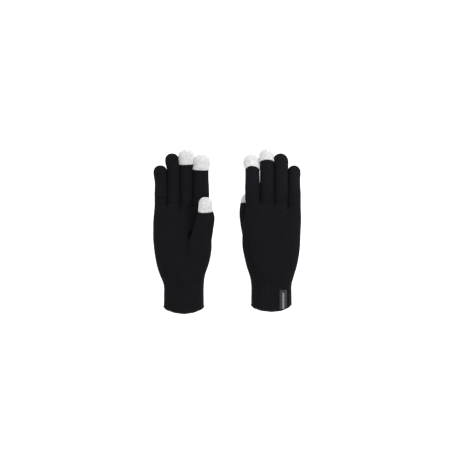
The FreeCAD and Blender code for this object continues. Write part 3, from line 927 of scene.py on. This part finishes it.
def tubes(paths, radius, around, closed, relief=None):
    """Tubes of quads round paths, with u round the tube and v along it."""
    knit = Knit()
    turn = np.linspace(0, 2 * math.pi, around, endpoint=False)
    for path in paths:
        if closed:
            step = np.roll(path, -1, axis=0) - np.roll(path, 1, axis=0)
        else:
            step = np.gradient(path, axis=0)
        step /= np.linalg.norm(step, axis=1, keepdims=True)
        first = np.cross(step, (0.0, 1.0, 0.0) if closed else (0.0, 0.0, 1.0))
        first /= np.linalg.norm(first, axis=1, keepdims=True)
        second = np.cross(first, step)
        rows = []
        for k, centre in enumerate(path):
            size = radius + relief(k, turn)[:, None] if relief else radius
            rows.append(knit.add(centre + first[k] * np.cos(turn)[:, None] * size
                                 + second[k] * np.sin(turn)[:, None] * size))
        if closed:
            rows.append(rows[0])
        else:
            rows = [knit.pole(path[0], around)] + rows + [knit.pole(path[-1], around)]
        courses = np.arange(len(rows)) - (not closed)
        knit.weave(rows[::-1], courses[::-1], "tube", density=around)
    knit.finish()
    return knit.points, knit.quads, knit.corners


def cuff_path(glove, along, inset, samples):
    """Places round the cuff at one height, or along the hem when along is None."""
    middle, half_width, half_depth = section(glove, HEM_BAND if along is None else along)
    side, out = outline(middle, half_width - inset, half_depth - inset, samples)
    length = run_along(np.stack((side, out), axis=1))
    even = np.linspace(0, length[-1], samples, endpoint=False)
    side, out = np.interp(even, length, side), np.interp(even, length, out)
    if along is None:
        wave = HEM_WAVE * np.sin(even / 7.3 + glove.seed) * np.sin(even / 3.1)
        along = hem_line(glove, side) + HEM_RISE + wave
    return np.stack((side, np.broadcast_to(along, samples), glove.cuff_height + out), axis=1)


def hem_roll(glove):
    """The overlocked edge: thread wrapped over the last row of the cuff."""
    def wraps(row, turn):
        twist = np.cos(2 * math.pi * row * HEM_WRAPS / HEM_ROWS - turn)
        return HEM_RELIEF * np.abs(twist) ** 1.5 - HEM_RELIEF / 2

    path = cuff_path(glove, None, FABRIC / 2 - 0.2, HEM_ROWS)
    return tubes([path], HEM_RADIUS, 16, True, wraps)


def elastic_loops(glove):
    """Thin elastic threads that run inside the cuff."""
    inset = FABRIC + RIB_RELIEF + ELASTIC_RADIUS + 0.1
    paths = [cuff_path(glove, along, inset, 240) for along in ELASTIC_PLACES]
    return tubes(paths, ELASTIC_RADIUS, 8, True)


def back_of_cuff(glove, side, along, offset):
    """A place on the back of the cuff, that far off its surface."""
    middle, half_width, half_depth = section(glove, along)
    part = np.clip(np.abs(side - middle) / half_width, 0, 1)
    out = half_depth * (1 - part ** SECTION_POWER) ** (1 / SECTION_POWER)
    lean_side = (part ** (SECTION_POWER - 1) / half_width) * np.sign(side - middle)
    lean_out = (out / half_depth) ** (SECTION_POWER - 1) / half_depth
    size = np.hypot(lean_side, lean_out)
    return np.stack((side + lean_side / size * offset, along + 0 * side,
                     glove.cuff_height - out - lean_out / size * offset), axis=-1)


def label_patch(glove):
    """The label: a thin slab that follows the back of the cuff, its edges drawn down."""
    end = glove.local_box("woven_label")[1][1]
    sides = np.linspace(LABEL_LEFT, LABEL_LEFT + LABEL_WIDTH, 49)
    start = label_start(glove, sides)
    knit = Knit()
    rows, courses = [], []
    for part in np.linspace(0, 1, 121):
        alongs = start + (end - start) * part
        edge = np.minimum(np.minimum(sides - sides[0], sides[-1] - sides),
                          np.minimum(alongs - start, end - alongs))
        drawn = LABEL_DROP * (1 - smooth(0, 0.9, edge))
        ripple = 0.08 * np.sin(alongs / 2.7 + glove.seed) * np.sin(sides / 1.9)
        offset = RIB_RELIEF + LABEL_THICK - drawn + ripple
        rows.append(knit.add(back_of_cuff(glove, sides, alongs, offset)))
        courses.append(alongs)
    knit.weave(rows[::-1], courses[::-1], "label", closed=False, density=len(sides) - 1)
    return knit.finish().walled(LABEL_THICK)


def label_start(glove, side):
    """The label's lower end follows the hem."""
    return hem_line(glove, side) + HEM_BAND


def label_tacks(glove):
    """Zigzag bar tacks across both ends of the label."""
    end = glove.local_box("woven_label")[1][1]
    sides = np.linspace(LABEL_LEFT + TACK_INSET, LABEL_LEFT + LABEL_WIDTH - TACK_INSET,
                        TACK_SWINGS * 6 + 1)
    swing = np.arcsin(np.sin(np.linspace(0, TACK_SWINGS * math.pi, len(sides)))) / (math.pi / 2)
    paths = [back_of_cuff(glove, sides, place + swing * TACK_REACH, RIB_RELIEF + LABEL_THICK + 0.1)
             for place in (label_start(glove, sides) + TACK_PLACE, end - TACK_PLACE)]
    return tubes(paths, TACK_RADIUS, 8, False)


# ---- Materials ----

class Nodes:
    """Short ways to build a shader."""

    def __init__(self, name, **values):
        self.material = bpy.data.materials.new(name)
        self.material.use_nodes = True
        self.tree = self.material.node_tree
        self.shader = self.tree.nodes["Principled BSDF"]
        for socket, value in values.items():
            self.shader.inputs[socket.replace("_", " ")].default_value = value

    def add(self, kind, **settings):
        node = self.tree.nodes.new(kind)
        for key, value in settings.items():
            setattr(node, key, value)
        return node

    def put(self, socket, value):
        if isinstance(value, bpy.types.NodeSocket):
            self.tree.links.new(value, socket)
        else:
            socket.default_value = value

    def math(self, operation, *values):
        node = self.add("ShaderNodeMath", operation=operation)
        for socket, value in zip(node.inputs, values):
            self.put(socket, value)
        return node.outputs[0]

    def place(self):
        """Wale and course of the surface, from the knit's own map."""
        split = self.add("ShaderNodeSeparateXYZ")
        self.put(split.inputs[0], self.add("ShaderNodeUVMap", uv_map="knit").outputs["UV"])
        return split.outputs[0], split.outputs[1]

    def noise(self, scale, detail=2.0):
        coordinates = self.add("ShaderNodeTexCoord")
        noise = self.add("ShaderNodeTexNoise")
        noise.inputs["Scale"].default_value = scale
        noise.inputs["Detail"].default_value = detail
        self.put(noise.inputs["Vector"], coordinates.outputs["Object"])
        return noise.outputs["Fac"]

    def ramp(self, value, low, high):
        """A colour between two, by a value from 0 to 1."""
        mix = self.add("ShaderNodeMix", data_type="RGBA")
        self.put(mix.inputs[0], value)
        mix.inputs[6].default_value = (*low, 1)
        mix.inputs[7].default_value = (*high, 1)
        return mix.outputs[2]

    def colour(self, value):
        self.put(self.shader.inputs["Base Color"], value)

    def bump(self, height, distance):
        bump = self.add("ShaderNodeBump")
        bump.inputs["Distance"].default_value = distance
        self.put(bump.inputs["Height"], height)
        self.put(self.shader.inputs["Normal"], bump.outputs["Normal"])

    def stitch(self):
        """Height of plain knit, as in stitch() above."""
        wale, course = self.place()
        out = self.math("ABSOLUTE", self.math("SUBTRACT", self.math("FRACT", wale), 0.5))
        arm = self.math("DIVIDE", self.math("SUBTRACT", out, 0.25), 0.25)
        leg = self.math("SQRT", self.math("MAXIMUM", self.math(
            "SUBTRACT", 1.0, self.math("MULTIPLY", arm, arm)), 0.0))
        climb = self.math("SUBTRACT", course, self.math("MULTIPLY", out, LEG_SLANT))
        wave = self.math("COSINE", self.math("MULTIPLY", climb, 2 * math.pi))
        strand = self.math("MULTIPLY_ADD", wave, 0.3, 0.7)
        return self.math("MULTIPLY", leg, strand)


def knit_material(name, low, high, relief, sheen, gloss, mottle=0.0):
    """Knitted yarn: slanted loops, fibres that stray from them, and soft fuzz at the edges, with
    painted shade in the gaps between the loops.
    """
    nodes = Nodes(name, Roughness=0.9, Sheen_Weight=sheen, Sheen_Roughness=0.45,
                  Specular_IOR_Level=gloss)
    loops = nodes.stitch()
    fibres = nodes.noise(2600.0, 3.0)
    patches = nodes.noise(70.0, 2.0)
    height = nodes.math("ADD", nodes.math("MULTIPLY", loops, 0.8),
                        nodes.math("MULTIPLY", fibres, 0.2))
    gap_shade_and_tone = nodes.math("MULTIPLY", height, nodes.math("MULTIPLY_ADD", patches, 0.35, 0.85))
    if mottle:
        spots = nodes.math("MULTIPLY_ADD", nodes.noise(430.0, 4.0), 2.6 * mottle, 1.08 - 1.3 * mottle)
        gap_shade_and_tone = nodes.math("MULTIPLY", gap_shade_and_tone, spots)
    # Painted shade: the colour is darkest where the loop relief is low, in the gaps between loops;
    # patches and mottling add random tone.
    nodes.colour(nodes.ramp(gap_shade_and_tone, low, high))
    nodes.bump(height, relief)
    return nodes.material


def thread_material(name, low, high, turns):
    """Twisted thread, its plies winding along it, with painted shade in the grooves between them."""
    nodes = Nodes(name, Roughness=0.75, Sheen_Weight=0.2, Sheen_Roughness=0.4,
                  Specular_IOR_Level=0.3)
    around, along = nodes.place()
    twist = nodes.math("SINE", nodes.math("MULTIPLY", nodes.math(
        "ADD", around, nodes.math("MULTIPLY", along, turns)), 2 * math.pi))
    height = nodes.math("MULTIPLY_ADD", twist, 0.5, 0.5)
    # Painted shade: the colour is darkest where the twist relief is low, in the grooves between the
    # plies.
    nodes.colour(nodes.ramp(height, low, high))
    nodes.bump(height, 0.00008)
    return nodes.material


def label_material():
    """Grey satin weave with a stripe of plain woven blocks down its middle, and painted shade in the
    low points of the weave.
    """
    nodes = Nodes("label_weave", Roughness=0.55, Sheen_Weight=0.15, Specular_IOR_Level=0.35)
    across, along = nodes.place()
    side = nodes.math("ABSOLUTE", nodes.math("SUBTRACT", across, LABEL_MARK_AT))
    inside = nodes.math("LESS_THAN", side, LABEL_MARK_HALF)
    beat = nodes.math("FRACT", nodes.math("DIVIDE", along, LABEL_MARK_PITCH))
    on = nodes.math("LESS_THAN", beat, LABEL_MARK_FILL)
    ends = nodes.math("LESS_THAN", nodes.math("ABSOLUTE", nodes.math(
        "SUBTRACT", along, LABEL_MARK_MIDDLE)), LABEL_MARK_REACH)
    mark = nodes.math("MULTIPLY", nodes.math("MULTIPLY", inside, on), ends)
    weft = nodes.math("SINE", nodes.math("MULTIPLY", along, 2 * math.pi / 0.36))
    warp = nodes.math("SINE", nodes.math("MULTIPLY", across, 2 * math.pi * 26))
    cloth = nodes.math("MULTIPLY_ADD", nodes.math("MULTIPLY", weft, warp), 0.5, 0.5)
    # Painted shade: the ground's colour is darkest where the weave relief is low.
    dark = nodes.ramp(cloth, (0.008, 0.008, 0.010), (0.022, 0.022, 0.026))
    weave_shade_and_tone = nodes.math("MULTIPLY", cloth, nodes.math("MULTIPLY_ADD", nodes.noise(600.0), 1.6, -0.1))
    # The light blocks also take painted shade in the weave's low points, with a random tone on top.
    light = nodes.ramp(weave_shade_and_tone, (0.10, 0.10, 0.11), (0.62, 0.62, 0.63))
    mix = nodes.add("ShaderNodeMix", data_type="RGBA")
    nodes.put(mix.inputs[0], mark)
    nodes.put(mix.inputs[6], dark)
    nodes.put(mix.inputs[7], light)
    nodes.colour(mix.outputs[2])
    nodes.bump(cloth, 0.00006)
    return nodes.material


# Knits: the colour in the gaps between loops (painted shade) and on the loops, relief in metres,
# sheen, gloss and mottling.
KNITS = {
    "black_knit": ((0.0036, 0.0035, 0.0046), (0.0150, 0.0147, 0.0182), 0.0004, 0.01, 0.03),
    "rib_knit": ((0.0038, 0.0037, 0.0047), (0.0185, 0.0182, 0.0213), 0.0005, 0.01, 0.03),
    "touch_knit": ((0.38, 0.38, 0.39), (0.96, 0.96, 0.96), 0.0002, 0.05, 0.1, 0.9),
}
# Threads: the thread's colour in the grooves between its plies (painted shade) and on the plies, and
# its twist per mesh row.
THREADS = {
    "hem_thread": ((0.005, 0.005, 0.006), (0.018, 0.018, 0.021), 0.1),
    "elastic": ((0.010, 0.010, 0.012), (0.030, 0.030, 0.034), 0.2),
    "label_thread": ((0.008, 0.008, 0.010), (0.030, 0.030, 0.034), 0.2),
}
MATERIALS = {name: knit_material(name, *values) for name, values in KNITS.items()}
MATERIALS.update({name: thread_material(name, *values) for name, values in THREADS.items()})
MATERIALS["label_weave"] = label_material()


# ---- The gloves ----

def add_piece(glove, part, mesh, slot, node, body=None):
    """A piece of the glove with its finish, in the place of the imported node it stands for."""
    points, quads, corners = mesh
    points = glove.world(above_floor(glove, points))
    piece = make_object("%s_%s" % (glove.name, part), points, quads, corners, MATERIALS[slot])
    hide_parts(glove.node(node))
    if body:
        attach(piece, "%s_%s" % (glove.name, body))
    return piece


def bend_between(glove, piece, child, start, end):
    """Bake a piece's placement into its mesh."""
    ends = glove.world(np.array([start, end])) * MM
    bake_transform(piece)


def build(glove):
    glove.thumb = Thumb(glove)
    hand = Hand(glove)
    knit = hand.knit

    def group(name):
        return take_group(knit, hand.points, hand.normals, name, FABRIC)

    add_piece(glove, "knit_hand", group("hand"), "black_knit", "hand_shell", "hand")
    add_piece(glove, "knit_cuff", group("cuff"), "rib_knit", "rib_cuff", "hand")
    add_piece(glove, "hem_overlock", hem_roll(glove), "hem_thread", "hem_edge", "hand")
    add_piece(glove, "elastic_threads", elastic_loops(glove), "elastic", "wrist_elastic", "hand")
    add_piece(glove, "size_label", label_patch(glove), "label_weave", "woven_label", "hand")
    add_piece(glove, "label_tacks", label_tacks(glove), "label_thread", "label_stitches", "hand")

    for finger in FINGERS:
        digit = hand.digits[finger]
        piece = add_piece(glove, "knit_" + finger, group(finger), "black_knit", finger + "_finger")
        bend_between(glove, piece, finger, (digit.side, digit.root - BLEND_BEFORE, digit.height),
                     (digit.side, digit.root + BLEND_AFTER, digit.height))
        if finger in TOUCH_FINGERS:
            add_piece(glove, finger + "_cap", finger_cap(digit), "touch_knit",
                      finger + "_touch_tip", finger)

    thumb = glove.thumb
    piece = add_piece(glove, "knit_thumb", thumb_tube(thumb), "black_knit", "thumb")
    bend_between(glove, piece, "thumb_body", *(glove.hinge("thumb_lift") + THUMB_BLEND))
    add_piece(glove, "thumb_cap", thumb_cap(thumb), "touch_knit", "thumb_touch_tip", "thumb_body")


for arguments in (("palm_up", False, 3), ("back_up", True, 8)):
    build(Glove(*arguments))


# ---- Floor, light and camera ----

floor_mesh = bpy.data.meshes.new("floor")
FLOOR_HALF = 3.0
floor_mesh.from_pydata([(-FLOOR_HALF, -FLOOR_HALF, 0), (FLOOR_HALF, -FLOOR_HALF, 0),
                        (FLOOR_HALF, FLOOR_HALF, 0), (-FLOOR_HALF, FLOOR_HALF, 0)], [], [(0, 1, 2, 3)])
floor = bpy.data.objects.new("floor", floor_mesh)
bpy.context.collection.objects.link(floor)
white = Nodes("white_floor", Roughness=1.0, Specular_IOR_Level=0.0,
              Base_Color=(0.9, 0.9, 0.9, 1), Emission_Color=(1, 1, 1, 1), Emission_Strength=0.9)
floor_mesh.materials.append(white.material)

world = bpy.data.worlds.new("studio")
bpy.context.scene.world = world
world.use_nodes = True
background = world.node_tree.nodes["Background"]
background.inputs["Color"].default_value = (1, 1, 1, 1)
background.inputs["Strength"].default_value = 0.7


def area_light(name, place, size, power):
    """A round light that faces the gloves' middle."""
    light = bpy.data.lights.new(name, "AREA")
    light.shape = "DISK"
    light.size = size
    light.energy = power
    lamp = bpy.data.objects.new(name, light)
    bpy.context.collection.objects.link(lamp)
    lamp.location = place
    lamp.rotation_euler = (-Vector(place)).to_track_quat("-Z", "Y").to_euler()


area_light("key", (0.95, 0.4, 1.15), 0.45, 8.9)
area_light("fill", (-0.6, 0.9, 1.4), 1.0, 4.2)

CAMERA_CENTRE = (-0.0019, 0.0080)
CAMERA_WIDTH = 0.6328       # width of the view at the gloves' middle height
CAMERA_HEIGHT = 3.0
camera_data = bpy.data.cameras.new("camera")
camera_data.sensor_width = 36.0
camera_data.lens = 36.0 * (CAMERA_HEIGHT - 0.016) / CAMERA_WIDTH
camera_data.clip_end = 20.0
camera = bpy.data.objects.new("camera", camera_data)
bpy.context.collection.objects.link(camera)
camera.location = (*CAMERA_CENTRE, CAMERA_HEIGHT)
bpy.context.scene.camera = camera
bpy.context.scene.view_settings.view_transform = "Standard"
